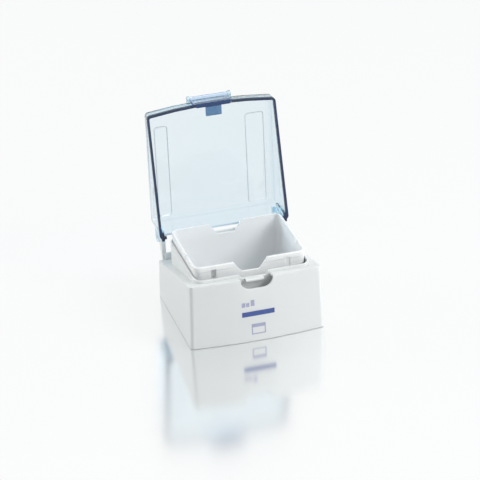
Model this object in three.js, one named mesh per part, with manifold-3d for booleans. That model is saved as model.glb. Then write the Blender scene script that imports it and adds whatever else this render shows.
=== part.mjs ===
// A hinged box for pipette tips: a white base with a tip rack in it, and a clear
// blue lid that swings up at the rear and snaps shut with a clip at the front.
// Millimetres. The origin is the middle of the footprint on the table, +Z is up,
// the clip is at -Y and the hinge at +Y.
import * as THREE from 'three';
import { mergeVertices } from 'three/addons/utils/BufferGeometryUtils.js';
import Module from 'manifold-3d';

const wasm = await Module();
wasm.setup();

// ---------------------------------------------------------------- driving sizes
// Overall form
const boxWidth = 120;
const boxDepth = 108;
const frontHeight = 60;
const rearHeight = 34;
const lidRise = 12.5;
const sideDraft = 0.03;
const endDraft = 0.01;
const frontBow = 3.6;
const cornerRadius = 3.4;

// Fits
const restGap = 0.3;
const hingeGap = 0.35;
const slideGap = 0.4;
const cutMargin = 1;

// Base shell
const skirtWall = 1.8;
const skirtFootChamfer = 0.6;
const shoulderThickness = 1.8;
const collarWall = 1.6;
const collarSideInset = 8.3;
const collarFrontInset = 7;
const collarRearInset = 12.5;
const collarRise = 0.6;
const collarBottom = 24;
const collarRadius = 9;
const notchHalfWidth = 14.5;
const notchBelowHook = 1.7;
const notchRadius = 9.2;
const collarNotchHalfWidth = 13;
const collarNotchDepth = 3.4;
const collarNotchTaper = 2;
const ledgeHalfWidth = 8;
const ledgeDrop = 0.4;
const ledgeThickness = 2.2;
const ledgeReach = 3.6;
const ledgeGusset = 1.6;
const sillRoot = 4;

// Rack
const rackFrontGap = 6.4;
const rackRearGap = 0.9;
const rackHeadroom = 1.4;
const rackWall = 1.6;
const rackFloor = 1.8;
const rackDraft = 0.035;
const rackRadius = 6;
const rackSideGap = 0.4;
const rackBandHeight = 4.5;
const rackBandStep = 0.5;
const rackNotchHalfWidth = 15.2;
const rackNotchBottomHalfWidth = 8;
const rackNotchDepth = 10;
const rackNotchRadius = 3;
const rackSlotWidth = 4.4;
const rackSlotDepth = 13;
const rackSlotOffset = 33;
const rackPocketDepth = 5;
const rackRecessDepth = 0.8;
const rackSlotBridge = 3.6;
const rackSideSlotWidth = 3.6;
const rackSideSlotDepth = 5;
const rackSideSlotY = -13;
const rackRimChamfer = 0.5;
const ribThickness = 2;
const ribOffset = 22;
const ribDrop = 8.6;
const ribLift = 2;

// Lid
const lidWall = 1.8;
const lidTopRadius = 3;
const beadHeight = 2.6;
const beadOut = 0.2;
const beadIn = 0.2;
const padFrontInset = 17;
const padRearInset = 4.5;
const padSideInset = 10;
const leftPadWidth = 12;
const rightPadWidth = 17;
const padStep = 0.7;
const padEdge = 0.3;
const padRadius = 3;
const padHollowInset = 0.6;
const rearReliefInset = 7;
const rearReliefHeight = 7;

// Hinge
const hingeBehindWall = 6;
const hingeAboveRim = 20;
const pinRadius = 1.8;
const knuckleRadius = 4.6;
const armThickness = 2.6;
const armInset = 2.6;
const armReach = 2;
const armRise = 1;
const earThickness = 3.4;
const earRootDrop = 14;
const stopStart = 1;
const stopLength = 7;
const stopThickness = 5;
const openAngle = 91;

// Clip
const clipHalfWidth = 17;
const clipThickness = 2;
const clipGap = 0.9;
const clipBelowRim = 8.6;
const clipPivotDrop = 4.1;
const clipBarrelRadius = 2.1;
const clipPinRadius = 1.1;
const clipLipHeight = 2.8;
const clipLipReach = 1.5;
const clipLipEdge = 0.6;
const clipCorner = 3;
const hookHalfWidth = 7;
const hookThickness = 2;
const hookCatch = 2.2;
const hookChamfer = [1, 0.8];
const lugThickness = 2.2;
const lugRadius = 2.9;
const lugRoot = 1.5;

// ---------------------------------------------------------------- derived places
const halfWidth = boxWidth / 2;
const halfDepth = boxDepth / 2;
const rimSlope = (frontHeight - rearHeight) / boxDepth;
const hingeY = halfDepth + hingeBehindWall;
const hingeHeight = rearHeight + hingeAboveRim;
const closedHeight = frontHeight + lidRise;
const clipPivotHeight = closedHeight - clipPivotDrop;
const collarHeight = frontHeight + collarRise;
const collarFront = -halfDepth + collarFrontInset;
const collarRear = halfDepth - collarRearInset;
const collarHalfWidth = halfWidth - collarSideInset;
const ledgeTop = collarHeight - collarNotchDepth - ledgeDrop;
const hookTop = ledgeTop - ledgeThickness - slideGap;
const hookBottom = hookTop - hookThickness;
const rearReliefHalfWidth = halfWidth - rearReliefInset;
const farAway = 10 * (boxWidth + boxDepth + closedHeight);

function rimHeight(y) {
  return frontHeight - rimSlope * (y + halfDepth);
}

function frontFace(z) {
  return -halfDepth - frontBow + endDraft * z;
}

// ---------------------------------------------------------------- solid helpers
function toSolid(geometry) {
  const bare = geometry.index ? geometry.toNonIndexed() : geometry.clone();
  bare.deleteAttribute('normal');
  bare.deleteAttribute('uv');
  const merged = mergeVertices(bare, 1e-4);
  return new wasm.Manifold(new wasm.Mesh({
    numProp: 3,
    vertProperties: new Float32Array(merged.attributes.position.array),
    triVerts: new Uint32Array(merged.index.array),
  }));
}

function toGeometry(solid) {
  const mesh = solid.getMesh();
  const geometry = new THREE.BufferGeometry();
  geometry.setAttribute('position', new THREE.BufferAttribute(mesh.vertProperties, 3));
  geometry.setIndex(new THREE.BufferAttribute(mesh.triVerts, 1));
  geometry.computeVertexNormals();
  return geometry;
}

function joinAll(solids) {
  return solids.reduce((sum, solid) => sum.add(solid));
}

// A closed outline with arcs at its corners and a front edge that bows outwards.
function outline({ halfX, front, rear, radius, bow = 0 }) {
  const r = Math.max(radius, 0.4);
  const shape = new THREE.Shape();
  shape.moveTo(-halfX + r, front);
  shape.quadraticCurveTo(0, front - 2 * bow, halfX - r, front);
  shape.absarc(halfX - r, front + r, r, -Math.PI / 2, 0, false);
  shape.absarc(halfX - r, rear - r, r, 0, Math.PI / 2, false);
  shape.absarc(-halfX + r, rear - r, r, Math.PI / 2, Math.PI, false);
  shape.absarc(-halfX + r, front + r, r, Math.PI, 1.5 * Math.PI, false);
  const points = shape.getPoints(5);
  points.pop();
  return points;
}

// A solid skinned over a stack of rings that all have as many points.
function loft(rings) {
  const count = rings[0].points.length;
  const positions = [];
  for (const ring of rings) {
    for (const point of ring.points) {
      positions.push(point.x, point.y, ring.z);
    }
  }
  const index = [];
  for (let level = 0; level < rings.length - 1; level += 1) {
    for (let i = 0; i < count; i += 1) {
      const a = level * count + i;
      const b = level * count + (i + 1) % count;
      index.push(a, b, b + count, a, b + count, a + count);
    }
  }
  const topStart = (rings.length - 1) * count;
  for (const [a, b, c] of THREE.ShapeUtils.triangulateShape(rings[0].points, [])) {
    index.push(a, c, b);
  }
  for (const [a, b, c] of THREE.ShapeUtils.triangulateShape(rings.at(-1).points, [])) {
    index.push(topStart + a, topStart + b, topStart + c);
  }
  const geometry = new THREE.BufferGeometry();
  geometry.setAttribute('position', new THREE.Float32BufferAttribute(positions, 3));
  geometry.setIndex(index);
  return toSolid(geometry);
}

function extrude(shape, depth, matrix) {
  const geometry = new THREE.ExtrudeGeometry(shape, { depth, bevelEnabled: false, curveSegments: 10 });
  geometry.applyMatrix4(matrix);
  return toSolid(geometry);
}

const axisX = new THREE.Vector3(1, 0, 0);
const axisY = new THREE.Vector3(0, 1, 0);
const axisZ = new THREE.Vector3(0, 0, 1);

// A profile drawn in (y, z) and pulled along X.
function alongX(shape, xFrom, xTo) {
  const turn = new THREE.Matrix4().makeBasis(axisY, axisZ, axisX);
  return extrude(shape, xTo - xFrom, turn.setPosition(xFrom, 0, 0));
}

// A profile drawn in (x, z) and pulled along Y.
function alongY(shape, yFrom, yTo) {
  const turn = new THREE.Matrix4().makeBasis(axisX, axisZ, axisY.clone().negate());
  return extrude(shape, yTo - yFrom, turn.setPosition(0, yTo, 0));
}

// A profile drawn in (x, y) and pulled along Z.
function alongZ(shape, zFrom, zTo) {
  return extrude(shape, zTo - zFrom, new THREE.Matrix4().makeTranslation(0, 0, zFrom));
}

function polygon(points) {
  return new THREE.Shape(points.map(([x, y]) => new THREE.Vector2(x, y)));
}

function rectangle(xFrom, xTo, yFrom, yTo) {
  return polygon([[xFrom, yFrom], [xTo, yFrom], [xTo, yTo], [xFrom, yTo]]);
}

function circle(x, y, radius) {
  return new THREE.Shape().absarc(x, y, radius, 0, 2 * Math.PI, false);
}

// The stretch of X between two distances from the middle, on the side asked for.
function sideSpan(side, near, far) {
  return side > 0 ? [near, far] : [-far, -near];
}

// An open-topped finger notch with rounded lower corners.
function notchShape(halfTop, halfBottom, bottom, top, radius) {
  const lean = Math.atan2(halfTop - halfBottom, top - bottom);
  const shape = new THREE.Shape();
  const run = radius * Math.tan((Math.PI / 2 - lean) / 2);
  shape.moveTo(-halfBottom + run, bottom);
  shape.lineTo(halfBottom - run, bottom);
  shape.absarc(halfBottom - run, bottom + radius, radius, -Math.PI / 2, -lean, false);
  shape.lineTo(halfTop, top);
  shape.lineTo(halfTop, farAway);
  shape.lineTo(-halfTop, farAway);
  shape.lineTo(-halfTop, top);
  shape.absarc(-halfBottom + run, bottom + radius, radius, Math.PI + lean, 1.5 * Math.PI, false);
  return shape;
}

// All the space between two heights that may follow the sloping rim.
function slab(low, high) {
  const front = -boxDepth;
  const rear = boxDepth;
  return alongX(polygon([
    [front, low(front)],
    [rear, low(rear)],
    [rear, high(rear)],
    [front, high(front)],
  ]), -farAway, farAway);
}

// ---------------------------------------------------------------- base shell
function boxOutline(inset, z) {
  const side = inset + sideDraft * z;
  const end = inset + endDraft * z;
  return outline({
    halfX: halfWidth - side,
    front: -halfDepth + end,
    rear: halfDepth - end,
    radius: cornerRadius - inset,
    bow: frontBow,
  });
}

function boxRing(inset, z) {
  return { points: boxOutline(inset, z), z };
}

function collarOutline(inset) {
  return outline({
    halfX: collarHalfWidth - inset,
    front: collarFront + inset,
    rear: collarRear - inset,
    radius: collarRadius - inset,
  });
}

function collarBlock(inset, zFrom, zTo) {
  const points = collarOutline(inset);
  return loft([{ points, z: zFrom }, { points, z: zTo }]);
}

function skirt() {
  const top = frontHeight + rearReliefHeight;
  const outer = loft([
    boxRing(skirtFootChamfer, 0),
    boxRing(0, skirtFootChamfer),
    boxRing(0, top),
  ]);
  const inner = loft([boxRing(skirtWall, -cutMargin), boxRing(skirtWall, top + cutMargin)]);
  const cap = slab((y) => rimHeight(y) - shoulderThickness, () => farAway);
  const above = slab(rimHeight, () => farAway);
  const body = outer.subtract(inner.subtract(cap)).subtract(above);
  return body.add(rearSill(outer.subtract(inner)));
}

// The rear wall stands up between the hinges, into the relief in the lid.
function rearSill(walls) {
  const half = rearReliefHalfWidth - restGap;
  const high = rearHeight + rearReliefHeight - restGap;
  const shape = rectangle(-half, half, rearHeight - sillRoot, high);
  return walls.intersect(alongY(shape, halfDepth - 2 * skirtWall, halfDepth));
}

// A tab on the collar that the clip's hook catches under.
function catchLedge() {
  const wall = collarFront;
  const root = wall + collarWall / 3;
  const tip = wall - ledgeReach;
  const low = ledgeTop - ledgeThickness;
  return alongX(polygon([
    [wall, low],
    [tip, low],
    [tip, ledgeTop - hookChamfer[1]],
    [tip + hookChamfer[0], ledgeTop],
    [root, ledgeTop],
    [root, low - ledgeGusset],
  ]), -ledgeHalfWidth, ledgeHalfWidth);
}

// A point beside the open lid's rear wall: how far along it from the hinge, and
// how deep below its outer face.
function besideOpenLid(along, below) {
  const dy = below - hingeBehindWall - endDraft * (hingeHeight + along);
  const angle = THREE.MathUtils.degToRad(openAngle);
  return [
    hingeY + dy * Math.cos(angle) + along * Math.sin(angle),
    hingeHeight - dy * Math.sin(angle) + along * Math.cos(angle),
  ];
}

// One of the two hinge ears: a plate behind the rear wall that carries the lid's
// pin and ends in a flat top on which the open lid comes to rest.
function hingeEar(side) {
  const root = halfDepth - skirtWall;
  const shape = new THREE.Shape();
  shape.moveTo(root, rearHeight - earRootDrop);
  shape.lineTo(hingeY + knuckleRadius, hingeHeight - 2 * knuckleRadius);
  shape.lineTo(...besideOpenLid(stopLength, restGap + stopThickness));
  shape.lineTo(...besideOpenLid(stopLength, restGap));
  shape.lineTo(...besideOpenLid(stopStart, restGap));
  shape.absarc(hingeY, hingeHeight, knuckleRadius, Math.PI / 2, Math.PI, false);
  shape.lineTo(hingeY - knuckleRadius, rearHeight + skirtWall);
  shape.lineTo(root, rearHeight - skirtWall - shoulderThickness);
  const hole = circle(hingeY, hingeHeight, pinRadius + hingeGap);
  const outer = halfWidth - armInset - armThickness - slideGap;
  const span = sideSpan(side, outer - earThickness, outer);
  const plate = alongX(shape, ...span);
  return plate.subtract(alongX(hole, span[0] - cutMargin, span[1] + cutMargin));
}

function frontNotch() {
  const bottom = hookBottom - notchBelowHook;
  const shape = notchShape(notchHalfWidth, notchHalfWidth, bottom, frontHeight, notchRadius);
  return alongY(shape, -boxDepth, collarFront);
}

function collarNotch() {
  const bottom = collarHeight - collarNotchDepth;
  const low = collarNotchHalfWidth - collarNotchTaper;
  const shape = notchShape(collarNotchHalfWidth, low, bottom, collarHeight, collarNotchTaper);
  return alongY(shape, collarFront - cutMargin, collarFront + collarWall + cutMargin);
}

function baseShell() {
  const collarHole = collarBlock(collarWall, -cutMargin, collarHeight + cutMargin);
  return skirt()
    .subtract(collarHole)
    .add(collarBlock(0, collarBottom, collarHeight).subtract(collarHole))
    .subtract(frontNotch())
    .subtract(collarNotch())
    .add(catchLedge())
    .add(hingeEar(-1))
    .add(hingeEar(1));
}

// ---------------------------------------------------------------- rack
const rackHalfWidth = collarHalfWidth - collarWall - rackSideGap;
const rackFront = collarFront + collarWall + rackFrontGap;
const rackRear = collarRear - collarWall - rackRearGap;
const rackHeight = closedHeight - lidWall - rackHeadroom;

function rackRing(inset, z) {
  const taper = inset + rackDraft * (rackHeight - z);
  return {
    z,
    points: outline({
      halfX: rackHalfWidth - taper,
      front: rackFront + taper,
      rear: rackRear - taper,
      radius: rackRadius - inset,
    }),
  };
}

function rackCuts() {
  const bottom = rackHeight - rackNotchDepth;
  const notch = notchShape(
    rackNotchHalfWidth,
    rackNotchBottomHalfWidth,
    bottom,
    rackHeight,
    rackNotchRadius,
  );
  const slotBottom = rackHeight - rackSlotDepth;
  const sideBottom = rackHeight - rackSideSlotDepth;
  const cuts = [alongY(notch, -boxDepth, boxDepth)];
  for (const [side, depth] of [[-1, rackPocketDepth], [1, rackRecessDepth]]) {
    const x = side * rackSlotOffset;
    const near = x - rackSlotWidth / 2;
    const far = x + rackSlotWidth / 2;
    const slot = rectangle(near, far, slotBottom, rackHeight - rackSlotBridge);
    cuts.push(alongY(slot, -boxDepth, rackFront + depth));
  }
  const half = rackSideSlotWidth / 2;
  const y = rackSideSlotY;
  cuts.push(alongX(rectangle(y - half, y + half, sideBottom, farAway), -farAway, farAway));
  return joinAll(cuts);
}

// The block inside the front wall that closes the left slot off as a pocket.
function pocketBlock() {
  const half = rackSlotWidth / 2 + rackWall;
  const low = rackHeight - rackSlotDepth - rackWall;
  const high = rackHeight - rackSlotBridge + rackWall / 2;
  const shape = rectangle(-rackSlotOffset - half, -rackSlotOffset + half, low, high);
  return alongY(shape, rackFront + rackWall / 2, rackFront + rackPocketDepth + rackWall);
}

// Upright ribs that keep the rack in the middle of the collar.
function rackRibs() {
  const ribs = [];
  const ribTop = collarHeight - ribDrop;
  const ribBottom = collarBottom + ribLift;
  const taper = rackDraft * (rackHeight - ribTop);
  const inner = rackHalfWidth - taper - rackWall;
  const outer = collarHalfWidth - collarWall - restGap;
  for (const side of [-1, 1]) {
    for (const y of [-ribOffset, ribOffset]) {
      const reach = sideSpan(side, inner, outer);
      const half = ribThickness / 2;
      ribs.push(alongZ(rectangle(...reach, y - half, y + half), ribBottom, ribTop));
    }
  }
  return joinAll(ribs);
}

function tipRack() {
  const bandBottom = rackHeight - rackBandHeight;
  const outer = loft([
    rackRing(0, 0),
    rackRing(0, bandBottom - rackBandStep),
    rackRing(-rackBandStep, bandBottom),
    rackRing(-rackBandStep, rackHeight - rackRimChamfer),
    rackRing(-rackBandStep + rackRimChamfer, rackHeight),
  ]);
  const inner = loft([
    rackRing(rackWall, rackFloor),
    rackRing(rackWall, rackHeight + cutMargin),
  ]);
  const body = outer.add(rackRibs()).subtract(inner).add(pocketBlock());
  return body.subtract(rackCuts());
}

// ---------------------------------------------------------------- lid, as closed
function lidBlock(inset, top) {
  const turn = lidTopRadius;
  const rings = [boxRing(inset, rearHeight - lidRise)];
  const steps = 4;
  for (let step = 0; step <= steps; step += 1) {
    const angle = step * Math.PI / 2 / steps;
    const z = top - turn + turn * Math.sin(angle);
    rings.push(boxRing(inset + turn * (1 - Math.cos(angle)), z));
  }
  return loft(rings);
}

function rimBead() {
  const low = (y) => rimHeight(y) + restGap;
  const high = (y) => rimHeight(y) + restGap + beadHeight;
  const tall = closedHeight + cutMargin;
  const outer = loft([boxRing(-beadOut, 0), boxRing(-beadOut, closedHeight)]);
  const inner = loft([boxRing(lidWall + beadIn, -cutMargin), boxRing(lidWall + beadIn, tall)]);
  return outer.subtract(inner).intersect(slab(low, high));
}

// Two pads on the top, the wider one on the right. The same shape, a little smaller
// and set lower, is their hollow underneath.
function topPads(inset, drop) {
  const edge = halfWidth - padSideInset;
  const spans = [[-edge, -edge + leftPadWidth], [edge - rightPadWidth, edge]];
  const pads = spans.map(([low, high]) => {
    const middle = (low + high) / 2;
    const ring = (extra, z) => ({
      z: z - drop,
      points: outline({
        halfX: (high - low) / 2 - inset - extra,
        front: -halfDepth + padFrontInset + inset + extra,
        rear: halfDepth - padRearInset - inset - extra,
        radius: padRadius - inset - extra,
      }).map((point) => new THREE.Vector2(point.x + middle, point.y)),
    });
    return loft([
      ring(0, closedHeight - lidWall / 2),
      ring(0, closedHeight + padStep - padEdge),
      ring(padEdge, closedHeight + padStep),
    ]);
  });
  return joinAll(pads);
}

// A gusset that runs back from the side wall and carries a pin for the ear.
function hingeArm(side) {
  const low = (y) => rimHeight(y) + restGap;
  const shape = new THREE.Shape();
  const start = halfDepth - cornerRadius - armReach;
  shape.moveTo(start, low(start) + beadIn);
  shape.lineTo(halfDepth + skirtWall, low(halfDepth) + beadIn);
  shape.lineTo(hingeY + knuckleRadius, hingeHeight);
  shape.absarc(hingeY, hingeHeight, knuckleRadius, 0, Math.PI / 2, false);
  shape.lineTo(start, hingeHeight + knuckleRadius + armRise);
  const outer = halfWidth - armInset;
  const inner = outer - armThickness;
  const pinEnd = inner - slideGap - earThickness;
  const arm = alongX(shape, ...sideSpan(side, inner, outer));
  const pinSpan = sideSpan(side, pinEnd, outer - armThickness / 2);
  return arm.add(alongX(circle(hingeY, hingeHeight, pinRadius), ...pinSpan));
}

function clipPivotY() {
  return frontFace(clipPivotHeight) - clipGap - clipBarrelRadius;
}

// Two ears on the front wall that hold the clip's pins.
function clipLugs() {
  const y = clipPivotY();
  const wall = frontFace(clipPivotHeight) + lidWall;
  const z = clipPivotHeight;
  const shape = new THREE.Shape();
  shape.moveTo(wall, z - lugRadius - lugRoot);
  shape.lineTo(wall, z + lugRadius);
  shape.lineTo(y, z + lugRadius);
  shape.absarc(y, z, lugRadius, Math.PI / 2, 1.5 * Math.PI, false);
  const inner = clipHalfWidth + slideGap;
  const outer = inner + lugThickness;
  const end = outer + cutMargin;
  const hole = alongX(circle(y, z, clipPinRadius + hingeGap), -end, end);
  const lugs = [-1, 1].map((side) => alongX(shape, ...sideSpan(side, inner, outer)));
  return joinAll(lugs).subtract(hole);
}

// The rear wall stops short of the rim, so that it clears the collar as it swings.
function rearRelief() {
  const low = 0;
  const high = rearHeight + rearReliefHeight;
  const shape = rectangle(-rearReliefHalfWidth, rearReliefHalfWidth, low, high);
  return alongY(shape, halfDepth - cornerRadius, halfDepth + cutMargin);
}

function lid() {
  const outer = lidBlock(0, closedHeight).add(topPads(0, 0));
  const inner = lidBlock(lidWall, closedHeight - lidWall).add(topPads(padHollowInset, lidWall));
  const below = slab(() => -farAway, (y) => rimHeight(y) + restGap);
  const shell = outer.subtract(inner).subtract(below);
  return joinAll([shell, rimBead(), hingeArm(-1), hingeArm(1), clipLugs()]).subtract(rearRelief());
}

// ---------------------------------------------------------------- clip, as closed
const clipBottom = frontHeight - clipBelowRim;

function clipBody() {
  const y = clipPivotY();
  const z = clipPivotHeight;
  const innerFace = frontFace(frontHeight) - clipGap;
  const outerFace = innerFace - clipThickness;
  const lip = outerFace - clipLipReach;
  const profile = new THREE.Shape();
  profile.moveTo(innerFace, clipBottom);
  profile.lineTo(innerFace, z - clipBarrelRadius);
  profile.lineTo(y + clipBarrelRadius, z);
  profile.absarc(y, z, clipBarrelRadius, 0, Math.PI, false);
  profile.lineTo(outerFace, z - clipBarrelRadius - clipThickness / 2);
  profile.lineTo(outerFace, clipBottom + clipLipHeight);
  profile.lineTo(lip, clipBottom + clipLipEdge);
  profile.lineTo(lip + clipLipEdge, clipBottom);
  return alongX(profile, -clipHalfWidth, clipHalfWidth);
}

function clipHook() {
  const root = frontFace(frontHeight) - clipGap - clipThickness / 4;
  const tip = collarFront - ledgeReach + hookCatch;
  return alongX(polygon([
    [root, hookBottom],
    [tip - hookChamfer[0], hookBottom],
    [tip, hookBottom + hookChamfer[1]],
    [tip, hookTop],
    [root, hookTop],
  ]), -hookHalfWidth, hookHalfWidth);
}

function clip() {
  const reach = clipHalfWidth + slideGap + lugThickness;
  const pins = alongX(circle(clipPivotY(), clipPivotHeight, clipPinRadius), -reach, reach);
  const low = clipBottom - cutMargin;
  const top = clipPivotHeight + clipBarrelRadius + cutMargin;
  const face = polygon([
    [-clipHalfWidth + clipCorner, low],
    [clipHalfWidth - clipCorner, low],
    [clipHalfWidth, clipBottom + clipCorner],
    [clipHalfWidth, top],
    [-clipHalfWidth, top],
    [-clipHalfWidth, clipBottom + clipCorner],
  ]);
  const trimmed = clipBody().intersect(alongY(face, -farAway, farAway));
  return joinAll([trimmed, clipHook(), pins]);
}

// ---------------------------------------------------------------- assembly
function material(color, roughness, opacity = 1) {
  return new THREE.MeshStandardMaterial({
    color,
    roughness,
    metalness: 0,
    opacity,
    transparent: opacity < 1,
  });
}

function piece(name, solid, look) {
  const mesh = new THREE.Mesh(toGeometry(solid), look);
  mesh.name = name;
  return mesh;
}

const box = new THREE.Group();
box.add(piece('base_shell', baseShell(), material(0xe9ebea, 0.35)));
box.add(piece('tip_rack', tipRack(), material(0xe6e8e9, 0.38)));

// The lid and its clip are made shut, then swung up together about the hinge.
const hinge = new THREE.Group();
hinge.position.set(0, hingeY, hingeHeight);
hinge.rotation.x = -THREE.MathUtils.degToRad(openAngle);
const lidMesh = piece('lid', lid(), material(0xbfe2f5, 0.12, 0.35));
const clipMesh = piece('lid_clip', clip(), material(0x1f4f9c, 0.2, 0.8));
for (const mesh of [lidMesh, clipMesh]) {
  mesh.position.set(0, -hingeY, -hingeHeight);
  hinge.add(mesh);
}
box.add(hinge);

export default box;
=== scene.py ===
"""A hinged box for pipette tips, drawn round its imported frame.

Metres, with the box's own axes: +Z up, -Y to the clip and the finger notch, +Y to the hinge.
"""

from math import ceil, cos, pi, radians, sin

import bmesh
import bpy
from bpy.props import FloatProperty, FloatVectorProperty, PointerProperty
from mathutils import Matrix, Vector
from mathutils.bvhtree import BVHTree


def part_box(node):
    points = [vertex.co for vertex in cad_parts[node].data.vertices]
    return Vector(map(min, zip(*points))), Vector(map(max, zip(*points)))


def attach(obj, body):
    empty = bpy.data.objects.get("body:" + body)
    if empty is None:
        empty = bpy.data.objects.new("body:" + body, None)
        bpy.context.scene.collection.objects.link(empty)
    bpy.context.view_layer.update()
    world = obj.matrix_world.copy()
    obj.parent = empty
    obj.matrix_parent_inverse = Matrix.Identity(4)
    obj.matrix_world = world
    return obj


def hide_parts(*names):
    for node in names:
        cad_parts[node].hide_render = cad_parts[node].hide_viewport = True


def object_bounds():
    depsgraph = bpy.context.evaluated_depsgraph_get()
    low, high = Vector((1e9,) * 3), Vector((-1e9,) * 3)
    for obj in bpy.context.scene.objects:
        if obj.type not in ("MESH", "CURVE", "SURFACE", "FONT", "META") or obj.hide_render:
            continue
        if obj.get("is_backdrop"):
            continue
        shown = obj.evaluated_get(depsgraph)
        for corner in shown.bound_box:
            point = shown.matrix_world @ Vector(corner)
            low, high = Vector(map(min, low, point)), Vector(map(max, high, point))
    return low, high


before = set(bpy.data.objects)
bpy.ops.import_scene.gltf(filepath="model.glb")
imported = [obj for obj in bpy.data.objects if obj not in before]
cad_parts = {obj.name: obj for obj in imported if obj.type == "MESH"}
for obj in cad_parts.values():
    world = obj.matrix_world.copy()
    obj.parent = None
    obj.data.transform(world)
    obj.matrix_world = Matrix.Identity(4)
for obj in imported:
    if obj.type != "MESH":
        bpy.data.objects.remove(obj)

bl_info = {
    "name": "Pipette tip box",
    "version": (1, 0, 0),
    "blender": (4, 5, 0),
    "location": "View3D > Sidebar > Tip box",
    "description": "Finishes and stages a hinged box for pipette tips",
    "category": "Object",
}

MM = 0.001

# Where the clear pieces change colour, with the lid open: a painted dark shade along the lid's rim
# and the clip's finger lip, and a matt frost on the cut edge of the lid's rear wall. The lid's rim, the
# clip's finger lip and that cut edge each lie in a plane, given by its normal and by its distance from the
# origin.
RIM_PLANE = ((0.0, 0.96799, -0.25099), 23.97 * MM)
LIP_PLANE = ((0.0, 1.0, 0.0), 59.4 * MM)
CUT_PLANE = ((0.0, 1.0, 0.0), 46.5 * MM)
RIM_BAND = 2.0 * MM
LIP_BAND = 3.6 * MM
CUT_BAND = 1.0 * MM
BAND_BLUR = 0.4 * MM
CLIP_UNDERSIDE = 171 * MM
CUT_HALF_WIDTH = 53 * MM
CUT_BOTTOM = 58 * MM

# How quickly the painted edge highlight sets in where an edge turns.
EDGE_CONTRAST = 8

# How far the ink stands proud of the plastic and reaches into it, in millimetres.
INK_RISE = 0.05
INK_ROOT = 0.05
INK_STEP = 1.5

# The marks on the rack's floor: its thickness, how far out they lie as a share of the
# rack's size, and how many steps go round each.
RACK_FLOOR = 1.8 * MM
MARK_REACH = 0.33
MARK_STEPS = 32

# The section of each mark, from its inner foot to its outer one, as (radius, height)
# in millimetres. Their feet are sunk into the floor.
RING_SECTION = [(2.7, -0.1), (2.75, 0.12), (3.0, 0.16), (3.25, 0.12), (3.3, -0.1)]
GATE_SECTION = [(0.3, -0.1), (0.3, 0.45), (0.9, 0.4), (1.1, 0.1), (2.4, 0.05), (2.5, -0.1)]

# The marks on the front, as (left, right, low, high) in millimetres.
BAR = (-14.5, 14.5, 24.8, 29.4)
TICKS = [(-14.4, -11.4, 34.4, 38.4), (-10.6, -7.8, 34.4, 38.0), (-6.4, -3.2, 34.6, 40.2)]
FIELD = (-6.4, 6.0, 7.0, 17.0)
FIELD_LINE = 0.9
FIELD_HEADING = 3.2

# How much of each coloured skin covers the clear plastic, and how rough it is. The rim's and the
# lip's skins are painted dark shade.
CUT_SKIN = (0.85, 0.55)
RIM_SHADE_SKIN = (0.95, 0.12)
LIP_SHADE_SKIN = (0.92, 0.12)
HOOK_SKIN = (0.65, 0.2)

# Refractive index of the plastics.
PLASTIC_IOR = 1.49

# The floor's two finishes, and how far it lies below the box's feet.
PLAIN_FLOOR_ROUGHNESS = 0.35
POLISHED_COLOUR = (0.96, 0.97, 0.97, 1)
POLISHED_ROUGHNESS = 0.14
FLOOR_DROP = 0.05 * MM

# Each lamp's place from the middle of the box and its width, in metres, and whether
# glossy surfaces mirror it. The left one stands low, and would glare off the floor.
LEFT_LAMP = ((-1.45, 0.85, 0.35), 0.8, False)
RIGHT_LAMP = ((1.0, -0.88, 0.95), 0.9, True)
TOP_LAMP = ((0.0, 0.8, 1.6), 1.2, True)

SENSOR_WIDTH = 36

# How often light may bounce, so that the long ways through clear walls don't end black.
BOUNCES = 24
GLOSSY_BOUNCES = 16


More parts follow.
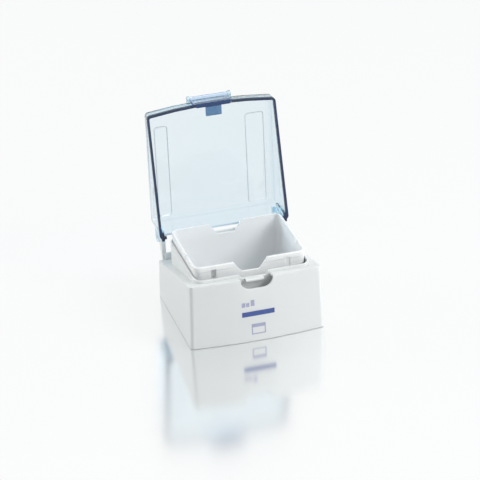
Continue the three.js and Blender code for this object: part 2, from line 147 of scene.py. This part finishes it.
# ------------------------------------------------------------------ settings
class PlasticSettings(bpy.types.PropertyGroup):
    """Colours and surface of the four mouldings and the ink."""

    base_colour: FloatVectorProperty(
        name="Base colour", description="Colour of the white base",
        subtype="COLOR", size=3, min=0, max=1, default=(0.78, 0.81, 0.81),
    )
    # Partly the rack's own white, partly painted light: lighter than the base's, to brighten the rack's
    # shaded well, and tinted blue like the shade in its depths.
    rack_colour_with_painted_light: FloatVectorProperty(
        name="Rack colour", description="Colour of the white inner rack",
        subtype="COLOR", size=3, min=0, max=1, default=(0.88, 0.90, 0.91),
    )
    lid_tint: FloatVectorProperty(
        name="Lid tint", description="Colour that light takes on through the lid's thickness",
        subtype="COLOR", size=3, min=0, max=1, default=(0.0, 0.44, 0.62),
    )
    lid_depth: FloatProperty(
        name="Lid depth", description="How fast the lid's tint deepens with thickness, per metre",
        min=0, soft_max=1000, default=105,
    )
    clip_tint: FloatVectorProperty(
        name="Clip tint", description="Colour that light takes on through the clip's thickness",
        subtype="COLOR", size=3, min=0, max=1, default=(0.0, 0.42, 0.78),
    )
    clip_depth: FloatProperty(
        name="Clip depth", description="How fast the clip's tint deepens with thickness, per metre",
        min=0, soft_max=2000, default=130,
    )
    # Painted shade: a near-black navy skin along the lid's rim, where thick clear plastic looks dark.
    rim_painted_shade: FloatVectorProperty(
        name="Rim colour", description="Colour along the lid's rim",
        subtype="COLOR", size=3, min=0, max=1, default=(0.012, 0.028, 0.075),
    )
    # Painted shade: a near-black navy skin along the clip's finger lip, where thick clear plastic looks
    # dark.
    lip_painted_shade: FloatVectorProperty(
        name="Lip colour", description="Colour along the clip's finger lip",
        subtype="COLOR", size=3, min=0, max=1, default=(0.008, 0.036, 0.125),
    )
    ink_colour: FloatVectorProperty(
        name="Ink colour", description="Colour of the blue marks on the front",
        subtype="COLOR", size=3, min=0, max=1, default=(0.045, 0.085, 0.29),
    )
    faint_ink_colour: FloatVectorProperty(
        name="Faint ink colour", description="Colour of the fine grey-blue marks on the front",
        subtype="COLOR", size=3, min=0, max=1, default=(0.36, 0.38, 0.54),
    )
    hook_colour: FloatVectorProperty(
        name="Hook colour", description="Colour of the hook under the clip",
        subtype="COLOR", size=3, min=0, max=1, default=(0.03, 0.16, 0.36),
    )
    frost_colour: FloatVectorProperty(
        name="Frost colour", description="Colour of the matt cut edge of the lid's rear wall",
        subtype="COLOR", size=3, min=0, max=1, default=(0.72, 0.84, 0.92),
    )
    edge_radius: FloatProperty(
        name="Edge radius", description="Rounding of the mouldings' edges",
        subtype="DISTANCE", unit="LENGTH", min=0, default=0.0004,
    )
    smooth_angle: FloatProperty(
        name="Smooth angle", description="Faces that meet at less than this are shaded as one curve",
        subtype="ANGLE", unit="ROTATION", min=0, max=pi, default=radians(28),
    )


class StageSettings(bpy.types.PropertyGroup):
    """Floor, light and camera."""

    floor_colour: FloatVectorProperty(
        name="Floor colour", description="Colour of the pale floor",
        subtype="COLOR", size=3, min=0, max=1, default=(0.86, 0.865, 0.87),
    )
    floor_reach: FloatProperty(
        name="Floor reach", description="From the middle of the floor to its edge",
        subtype="DISTANCE", unit="LENGTH", min=1, default=6,
    )
    floor_polish: FloatProperty(
        name="Floor polish", description="Share of the floor that mirrors what stands on it",
        subtype="FACTOR", min=0, max=1, default=0.85,
    )
    ambient: FloatProperty(
        name="Ambient light", description="Strength of the even light from all round",
        min=0, default=0.48,
    )
    left_power: FloatProperty(
        name="Left lamp", description="Power of the soft lamp at the rear left",
        unit="POWER", min=0, default=12,
    )
    right_power: FloatProperty(
        name="Right lamp", description="Power of the soft lamp at the front right",
        unit="POWER", min=0, default=17,
    )
    top_power: FloatProperty(
        name="Top lamp", description="Power of the soft lamp overhead, behind the box",
        unit="POWER", min=0, default=6.5,
    )
    azimuth: FloatProperty(
        name="Azimuth", description="Turn of the camera round the box; 0 looks along +Y",
        subtype="ANGLE", unit="ROTATION", default=radians(-15.37),
    )
    elevation: FloatProperty(
        name="Elevation", description="Height of the camera above the horizon",
        subtype="ANGLE", unit="ROTATION", default=radians(27.0),
    )
    roll: FloatProperty(
        name="Roll", description="Turn of the camera about its own line of sight",
        subtype="ANGLE", unit="ROTATION", default=radians(2.4),
    )
    distance: FloatProperty(
        name="Distance", description="From the camera to the point it looks at",
        subtype="DISTANCE", unit="LENGTH", min=0.2, default=2.156,
    )
    lens: FloatProperty(
        name="Lens", description="Focal length on a 36 mm sensor, in millimetres",
        min=10, default=183.9,
    )
    aim: FloatVectorProperty(
        name="Aim", description="The point in the middle of the view",
        subtype="TRANSLATION", unit="LENGTH", size=3, default=(0.0094, 0.0265, 0.0551),
    )


class TipBoxSettings(bpy.types.PropertyGroup):
    """Everything that can be set for the tip box."""

    plastic: PointerProperty(type=PlasticSettings, name="Plastic", description="Colours and surfaces")
    stage: PointerProperty(type=StageSettings, name="Stage", description="Floor, light and camera")


# ------------------------------------------------------------------ shader graphs
class Output:
    """An output socket. Sums on it add Math nodes to its graph."""

    def __init__(self, graph, socket):
        self.graph = graph
        self.socket = socket

    def __add__(self, other):
        return self.graph.maths("ADD", self, other)

    def __sub__(self, other):
        return self.graph.maths("SUBTRACT", self, other)

    def __rsub__(self, other):
        return self.graph.maths("SUBTRACT", other, self)

    def __mul__(self, other):
        return self.graph.maths("MULTIPLY", self, other)

    __radd__ = __add__
    __rmul__ = __mul__


class Graph:
    """The nodes of one material or world."""

    def __init__(self, tree):
        self.tree = tree
        tree.nodes.clear()

    def node(self, kind, settings=None, inputs=None, output=0):
        """Adds a node, sets it up, fills its sockets and returns one of its outputs."""
        made = self.tree.nodes.new(kind)
        for name, value in (settings or {}).items():
            if name == "stops":
                self.set_stops(made.color_ramp, value)
            else:
                setattr(made, name, value)
        for name, value in (inputs or {}).items():
            if isinstance(value, Output):
                self.tree.links.new(value.socket, made.inputs[name])
            else:
                made.inputs[name].default_value = value
        return Output(self, made.outputs[output]) if len(made.outputs) else None

    @staticmethod
    def set_stops(ramp, stops):
        """Gives a colour ramp its (position, grey level) stops."""
        while len(ramp.elements) < len(stops):
            ramp.elements.new(1)
        for element, (position, level) in zip(ramp.elements, stops):
            element.position = position
            element.color = (level, level, level, 1)

    def maths(self, operation, *values):
        return self.node("ShaderNodeMath", {"operation": operation}, dict(enumerate(values)))

    def mix(self, share, first, second):
        """A colour between two, by a share."""
        sockets = {0: share, 6: first, 7: second}
        return self.node("ShaderNodeMix", {"data_type": "RGBA"}, sockets, output=2)

    def noise(self, place, scale, detail=2.0, roughness=0.5):
        inputs = {"Vector": place, "Scale": scale, "Detail": detail, "Roughness": roughness}
        return self.node("ShaderNodeTexNoise", inputs=inputs)

    def place(self):
        """Where a point lies in the box's own frame."""
        return self.node("ShaderNodeTexCoord", output="Object")

    def stretched(self, place, scale):
        return self.node("ShaderNodeMapping", inputs={"Vector": place, "Scale": scale})

    def fade(self, value, low, high):
        """1 up to the low value and 0 from the high one on."""
        inputs = {"Value": value, "From Min": low, "From Max": high, "To Min": 1.0, "To Max": 0.0}
        return self.node("ShaderNodeMapRange", inputs=inputs)

    def sharp_edges(self, rounded):
        """1 on sharp edges, where the rounded normal leaves the flat one, and 0 on faces."""
        flat = self.node("ShaderNodeNewGeometry", output="Normal")
        settings = {"operation": "DOT_PRODUCT"}
        agreement = self.node("ShaderNodeVectorMath", settings, {0: rounded, 1: flat}, output="Value")
        return self.maths("MINIMUM", (1 - agreement) * EDGE_CONTRAST, 1.0)

    def bump(self, height, strength, distance, normal=None):
        inputs = {"Height": height, "Strength": strength, "Distance": distance}
        if normal is not None:
            inputs["Normal"] = normal
        return self.node("ShaderNodeBump", inputs=inputs)

    def surface(self, shader, volume=None):
        inputs = {"Surface": shader}
        if volume is not None:
            inputs["Volume"] = volume
        self.node("ShaderNodeOutputMaterial", inputs=inputs)


def new_material(name):
    material = bpy.data.materials.new(name)
    material.use_nodes = True
    return material, Graph(material.node_tree)


def scaled(colour, share):
    return (*(channel * share for channel in colour), 1)


def white_plastic(name, colour, edge_radius):
    """Satin white polypropylene: a fine moulded grain, faint flow marks, and edges that are glossier and
    carry a painted highlight.
    """
    material, graph = new_material(name)
    place = graph.place()
    grain = graph.noise(place, 2600, 3, 0.6)
    flow = graph.noise(graph.stretched(place, (14, 14, 55)), 1.0, 3, 0.55)
    cloud = graph.noise(place, 28, 2)
    rounded = graph.node("ShaderNodeBevel", {"samples": 6}, {"Radius": edge_radius})
    wavy = graph.bump(flow, 0.05, 0.0004, rounded)
    # Painted highlight: the colour turns lighter along sharp edges, which are also made glossier.
    edge_sheen = graph.sharp_edges(rounded) * (0.4 + cloud)
    body = graph.mix(cloud * 0.7 + flow * 0.3, scaled(colour, 0.975), scaled(colour, 1.02))
    inputs = {
        "Base Color": graph.mix(edge_sheen, body, scaled(colour, 1.05)),
        "Roughness": 0.3 + cloud * 0.08 + grain * 0.06 - edge_sheen * 0.1,
        "IOR": PLASTIC_IOR,
        "Subsurface Weight": 0.35,
        "Subsurface Radius": (0.004, 0.0038, 0.0036),
        "Subsurface Scale": 1.0,
        "Normal": graph.bump(grain, 0.10, 0.00004, wavy),
    }
    graph.surface(graph.node("ShaderNodeBsdfPrincipled", inputs=inputs))
    return material


def clear_plastic(name, tint, depth, skins):
    """Polished clear plastic, whose tint deepens along its walls and edges.

    Each skin is (where it lies, its colour, (how much it covers, its roughness)).
    """
    material, graph = new_material(name)
    place = graph.place()
    flow = graph.noise(graph.stretched(place, (9, 9, 26)), 1.0, 2, 0.5)
    haze = graph.noise(place, 70, 3, 0.6)
    waviness = graph.bump(flow, 0.05, 0.0006)
    surface = graph.node("ShaderNodeBsdfPrincipled", inputs={
        "Base Color": graph.mix(flow, (0.965, 0.985, 1.0, 1), (0.99, 0.995, 1.0, 1)),
        "Roughness": 0.015 + haze * 0.03,
        "IOR": PLASTIC_IOR,
        "Transmission Weight": 1.0,
        "Normal": waviness,
    })
    # Opaque skins laid over the clear plastic; the rim's and the lip's are painted dark shade.
    for where, colour, (cover, roughness) in skins:
        skin = graph.node("ShaderNodeBsdfPrincipled", inputs={
            "Base Color": graph.mix(haze, scaled(colour, 0.9), scaled(colour, 1.1)),
            "Roughness": roughness + haze * 0.1,
            "IOR": PLASTIC_IOR,
            "Normal": waviness,
        })
        share = where(graph, place) * cover
        surface = graph.node("ShaderNodeMixShader", inputs={0: share, 1: surface, 2: skin})
    shadow = graph.node("ShaderNodeLightPath", output="Is Shadow Ray")
    through = graph.node("ShaderNodeBsdfTransparent", inputs={"Color": (0.86, 0.93, 0.97, 1)})
    shader = graph.node("ShaderNodeMixShader", inputs={0: shadow, 1: surface, 2: through})
    volume = graph.node("ShaderNodeVolumeAbsorption", inputs={"Color": (*tint, 1), "Density": depth})
    graph.surface(shader, volume)
    return material


def near_plane(graph, place, plane, band):
    """1 within a band behind a plane, 0 beyond it."""
    normal, offset = plane
    settings = {"operation": "DOT_PRODUCT"}
    height = graph.node("ShaderNodeVectorMath", settings, {0: place, 1: normal}, output="Value")
    return graph.fade(height, offset + band, offset + band + BAND_BLUR)


def along(graph, place, axis):
    return graph.node("ShaderNodeSeparateXYZ", inputs={"Vector": place}, output=axis)


def on_rim(graph, place):
    """The bead round the lid's rim, where a dark shade is painted."""
    return near_plane(graph, place, RIM_PLANE, RIM_BAND)


def on_cut(graph, place):
    """The cut edge of the lid's rear wall, between the hinge arms."""
    across = graph.maths("ABSOLUTE", along(graph, place, "X"))
    between = graph.fade(across, CUT_HALF_WIDTH - BAND_BLUR, CUT_HALF_WIDTH)
    above = 1 - graph.fade(along(graph, place, "Z"), CUT_BOTTOM, CUT_BOTTOM + BAND_BLUR)
    return near_plane(graph, place, CUT_PLANE, CUT_BAND) * between * above


def on_hook(graph, place):
    """The hook that hangs below the open clip."""
    return graph.fade(along(graph, place, "Z"), CLIP_UNDERSIDE, CLIP_UNDERSIDE + BAND_BLUR)


def on_lip(graph, place):
    """The clip's finger lip, where a dark shade is painted, but not the hook below it."""
    return near_plane(graph, place, LIP_PLANE, LIP_BAND) * (1 - on_hook(graph, place))


def ink(name, colour):
    """Printed ink, a little uneven where it has taken on the grained plastic."""
    material, graph = new_material(name)
    place = graph.place()
    speckle = graph.noise(place, 3200, 2)
    cover = graph.noise(place, 400, 2)
    inputs = {
        "Base Color": graph.mix(cover, scaled(colour, 0.88), scaled(colour, 1.25)),
        "Roughness": 0.42 + speckle * 0.12,
        "Normal": graph.bump(speckle, 0.15, 0.00003),
    }
    graph.surface(graph.node("ShaderNodeBsdfPrincipled", inputs=inputs))
    return material


# ------------------------------------------------------------------ meshes
def settings():
    return bpy.context.scene.tip_box


def new_object(name, mesh, material):
    mesh.materials.clear()
    mesh.materials.append(material)
    made = bpy.data.objects.new(name, mesh)
    bpy.context.scene.collection.objects.link(made)
    return made


def moulding(name, node, body, material):
    """A welded, smoothly shaded copy of a frame node, which stands for it."""
    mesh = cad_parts[node].data.copy()
    mesh.name = name
    work = bmesh.new()
    work.from_mesh(mesh)
    bmesh.ops.remove_doubles(work, verts=work.verts, dist=0.002 * MM)
    bmesh.ops.dissolve_limit(work, angle_limit=radians(0.4), verts=work.verts, edges=work.edges)
    bmesh.ops.triangulate(work, faces=[face for face in work.faces if len(face.verts) > 4])
    work.to_mesh(mesh)
    work.free()
    if "custom_normal" in mesh.attributes:
        mesh.attributes.remove(mesh.attributes["custom_normal"])
    mesh.shade_smooth()
    mesh.set_sharp_from_angle(angle=settings().plastic.smooth_angle)
    made = new_object(name, mesh, material)
    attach(made, body)
    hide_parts(node)
    return made


def front_surface():
    """Gives the depth of the base's front face at a place across and up, in millimetres."""
    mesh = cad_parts["base_shell"].data
    tree = BVHTree.FromPolygons(
        [vertex.co for vertex in mesh.vertices],
        [tuple(face.vertices) for face in mesh.polygons],
    )

    def depth(across, up):
        hit = tree.ray_cast(Vector((across * MM, -1, up * MM)), Vector((0, 1, 0)))
        return hit[0].y / MM

    return depth


def mark(name, work, material):
    """Turns a bmesh into an object that rides on the base."""
    bmesh.ops.recalc_face_normals(work, faces=work.faces)
    mesh = bpy.data.meshes.new(name)
    work.to_mesh(mesh)
    work.free()
    made = new_object(name, mesh, material)
    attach(made, "base")
    return made


def printed(name, patches, material):
    """Thin raised patches of ink on the front face, each (left, right, low, high)."""
    depth = front_surface()
    work = bmesh.new()
    for left, right, low, high in patches:
        steps = max(1, ceil((right - left) / INK_STEP))
        rows = []
        for step in range(steps + 1):
            across = left + (right - left) * step / steps
            rows.append([
                work.verts.new((across * MM, (depth(across, up) + rise) * MM, up * MM))
                for up, rise in ((low, INK_ROOT), (low, -INK_RISE), (high, -INK_RISE), (high, INK_ROOT))
            ])
        work.faces.new(rows[0])
        work.faces.new(reversed(rows[-1]))
        for near, far in zip(rows, rows[1:]):
            for i in range(4):
                j = (i + 1) % 4
                work.faces.new((near[j], near[i], far[i], far[j]))
    return mark(name, work, material)


def turned_marks(name, places, profile, material):
    """Low round marks on a floor, turned from one profile of (radius, height) points."""
    work = bmesh.new()
    for centre in places:
        rings = []
        for radius, height in profile:
            rings.append([
                work.verts.new(centre + Vector((
                    radius * MM * cos(2 * pi * step / MARK_STEPS),
                    radius * MM * sin(2 * pi * step / MARK_STEPS),
                    height * MM,
                )))
                for step in range(MARK_STEPS)
            ])
        for low, high in zip(rings, rings[1:] + rings[:1]):
            for i in range(MARK_STEPS):
                j = (i + 1) % MARK_STEPS
                work.faces.new((low[i], low[j], high[j], high[i]))
    made = mark(name, work, material)
    made.data.shade_smooth()
    made.data.set_sharp_from_angle(angle=settings().plastic.smooth_angle)
    return made


# ------------------------------------------------------------------ operators
class TIPBOX_OT_white_mouldings(bpy.types.Operator):
    """Makes the white base and the white rack"""

    bl_idname = "tipbox.white_mouldings"
    bl_label = "White mouldings"
    bl_options = {"REGISTER", "UNDO"}

    def execute(self, context):
        plastic = context.scene.tip_box.plastic
        base = white_plastic("base_polypropylene", plastic.base_colour, plastic.edge_radius)
        # The rack's colour carries painted light.
        rack = white_plastic("rack_polypropylene_painted_light", plastic.rack_colour_with_painted_light, plastic.edge_radius)
        moulding("base_moulding", "base_shell", "base", base)
        moulding("rack_moulding", "tip_rack", "base", rack)
        self.floor_marks(rack)
        return {"FINISHED"}

    @staticmethod
    def floor_marks(material):
        """The rings that the mould's ejector pins leave on the rack's floor, and its gate."""
        low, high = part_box("tip_rack")
        middle = (low + high) / 2
        floor = low.z + RACK_FLOOR
        reach = (high - low) * MARK_REACH
        corners = [
            Vector((middle.x + side * reach.x, middle.y + end * reach.y, floor))
            for side in (-1, 1)
            for end in (-1, 1)
        ]
        turned_marks("rack_ejector_rings", corners, RING_SECTION, material)
        turned_marks("rack_gate", [Vector((middle.x, middle.y, floor))], GATE_SECTION, material)


class TIPBOX_OT_clear_mouldings(bpy.types.Operator):
    """Makes the clear lid and its clip"""

    bl_idname = "tipbox.clear_mouldings"
    bl_label = "Clear mouldings"
    bl_options = {"REGISTER", "UNDO"}

    def execute(self, context):
        plastic = context.scene.tip_box.plastic
        lid = clear_plastic("lid_clear_blue", plastic.lid_tint, plastic.lid_depth, [
            (on_cut, plastic.frost_colour, CUT_SKIN),
            # The rim's dark skin is painted shade.
            (on_rim, plastic.rim_painted_shade, RIM_SHADE_SKIN),
        ])
        clip = clear_plastic("clip_clear_blue", plastic.clip_tint, plastic.clip_depth, [
            # The lip's dark skin is painted shade.
            (on_lip, plastic.lip_painted_shade, LIP_SHADE_SKIN),
            (on_hook, plastic.hook_colour, HOOK_SKIN),
        ])
        moulding("lid_moulding", "lid", "lid", lid)
        moulding("clip_moulding", "lid_clip", "clip", clip)
        return {"FINISHED"}


class TIPBOX_OT_front_marks(bpy.types.Operator):
    """Prints the plain marks on the front of the base"""

    bl_idname = "tipbox.front_marks"
    bl_label = "Front marks"
    bl_options = {"REGISTER", "UNDO"}

    def execute(self, context):
        plastic = context.scene.tip_box.plastic
        left, right, low, high = FIELD
        inner_low = low + FIELD_LINE
        inner_high = high - FIELD_HEADING
        field = [
            (left, right, low, inner_low),
            (left, right, inner_high, high),
            (left, left + FIELD_LINE, inner_low, inner_high),
            (right - FIELD_LINE, right, inner_low, inner_high),
        ]
        printed("front_bar", [BAR], ink("ink_blue", plastic.ink_colour))
        printed("front_ticks", TICKS + field, ink("ink_faint", plastic.faint_ink_colour))
        return {"FINISHED"}


class TIPBOX_OT_stage(bpy.types.Operator):
    """Lays the floor and sets the light and the camera"""

    bl_idname = "tipbox.stage"
    bl_label = "Stage"
    bl_options = {"REGISTER", "UNDO"}

    def execute(self, context):
        stage = context.scene.tip_box.stage
        lay_floor(stage)
        light_world(stage)
        low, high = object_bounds()
        middle = (low + high) / 2
        hang_lamp("lamp_left", stage.left_power, middle, *LEFT_LAMP)
        hang_lamp("lamp_right", stage.right_power, middle, *RIGHT_LAMP)
        hang_lamp("lamp_top", stage.top_power, middle, *TOP_LAMP)
        place_camera(stage)
        return {"FINISHED"}


# ------------------------------------------------------------------ stage
def lay_floor(stage):
    reach = stage.floor_reach
    mesh = bpy.data.meshes.new("floor")
    corners = [(-reach, -reach, 0), (reach, -reach, 0), (reach, reach, 0), (-reach, reach, 0)]
    mesh.from_pydata(corners, [], [(0, 1, 2, 3)])
    material, graph = new_material("floor_pale")
    plain = graph.node("ShaderNodeBsdfPrincipled", inputs={
        "Base Color": (*stage.floor_colour, 1),
        "Roughness": PLAIN_FLOOR_ROUGHNESS,
    })
    polished = graph.node("ShaderNodeBsdfPrincipled", inputs={
        "Base Color": POLISHED_COLOUR,
        "Metallic": 1.0,
        "Roughness": POLISHED_ROUGHNESS,
    })
    surface = graph.node("ShaderNodeMixShader", inputs={0: stage.floor_polish, 1: plain, 2: polished})
    graph.surface(surface)
    floor = new_object("floor", mesh, material)
    floor.location.z = -FLOOR_DROP
    floor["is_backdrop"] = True


def seen_directly(graph):
    """1 for what the camera sees, straight or by way of gloss or glass, else 0."""
    seen = 0
    for way in ("Is Camera Ray", "Is Glossy Ray", "Is Transmission Ray"):
        seen = seen + graph.node("ShaderNodeLightPath", output=way)
    scattered = graph.node("ShaderNodeLightPath", output="Diffuse Depth")
    return graph.maths("MINIMUM", seen, 1.0) * graph.maths("LESS_THAN", scattered, 0.5)


def light_world(stage):
    world = bpy.data.worlds.new("pale_room")
    world.use_nodes = True
    bpy.context.scene.world = world
    graph = Graph(world.node_tree)
    seen = seen_directly(graph)
    strength = seen * (1 - stage.ambient) + stage.ambient
    light = graph.node("ShaderNodeBackground", inputs={"Color": (1, 1, 1, 1), "Strength": strength})
    graph.node("ShaderNodeOutputWorld", inputs={"Surface": light})


def hang_lamp(name, power, middle, offset, width, mirrored):
    data = bpy.data.lights.new(name, "AREA")
    data.shape = "DISK"
    data.size = width
    data.energy = power
    lamp = bpy.data.objects.new(name, data)
    lamp.location = middle + Vector(offset)
    lamp.rotation_euler = (-Vector(offset)).to_track_quat("-Z", "Y").to_euler()
    lamp.visible_glossy = mirrored
    bpy.context.scene.collection.objects.link(lamp)


def place_camera(stage):
    data = bpy.data.cameras.new("camera")
    data.sensor_width = SENSOR_WIDTH
    data.lens = stage.lens
    camera = bpy.data.objects.new("camera", data)
    back = Vector((
        sin(stage.azimuth) * cos(stage.elevation),
        -cos(stage.azimuth) * cos(stage.elevation),
        sin(stage.elevation),
    ))
    turn = (-back).to_track_quat("-Z", "Y").to_matrix().to_4x4()
    place = Matrix.Translation(Vector(stage.aim) + back * stage.distance)
    camera.matrix_world = place @ turn @ Matrix.Rotation(-stage.roll, 4, "Z")
    bpy.context.scene.collection.objects.link(camera)
    bpy.context.scene.camera = camera
    bpy.context.scene.view_settings.view_transform = "Standard"
    light_paths = bpy.context.scene.cycles
    light_paths.max_bounces = BOUNCES
    light_paths.glossy_bounces = GLOSSY_BOUNCES
    light_paths.transmission_bounces = BOUNCES


# ------------------------------------------------------------------ add-on
OPERATORS = (
    TIPBOX_OT_white_mouldings,
    TIPBOX_OT_clear_mouldings,
    TIPBOX_OT_front_marks,
    TIPBOX_OT_stage,
)


class TIPBOX_PT_panel(bpy.types.Panel):
    """Lists the steps that make the tip box"""

    bl_idname = "TIPBOX_PT_panel"
    bl_label = "Tip box"
    bl_space_type = "VIEW_3D"
    bl_region_type = "UI"
    bl_category = "Tip box"

    def draw(self, context):
        for operator in OPERATORS:
            self.layout.operator(operator.bl_idname)
        box = context.scene.tip_box
        for group in (box.plastic, box.stage):
            column = self.layout.column()
            for name in group.__annotations__:
                column.prop(group, name)


CLASSES = (PlasticSettings, StageSettings, TipBoxSettings, *OPERATORS, TIPBOX_PT_panel)


def register():
    for each in CLASSES:
        bpy.utils.register_class(each)
    bpy.types.Scene.tip_box = PointerProperty(type=TipBoxSettings, name="Tip box", description="The tip box")


def unregister():
    del bpy.types.Scene.tip_box
    for each in reversed(CLASSES):
        bpy.utils.unregister_class(each)


def main():
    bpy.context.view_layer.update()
    register()
    for operator in OPERATORS:
        group, name = operator.bl_idname.split(".")
        getattr(getattr(bpy.ops, group), name)()


if __name__ == "__main__":
    main()
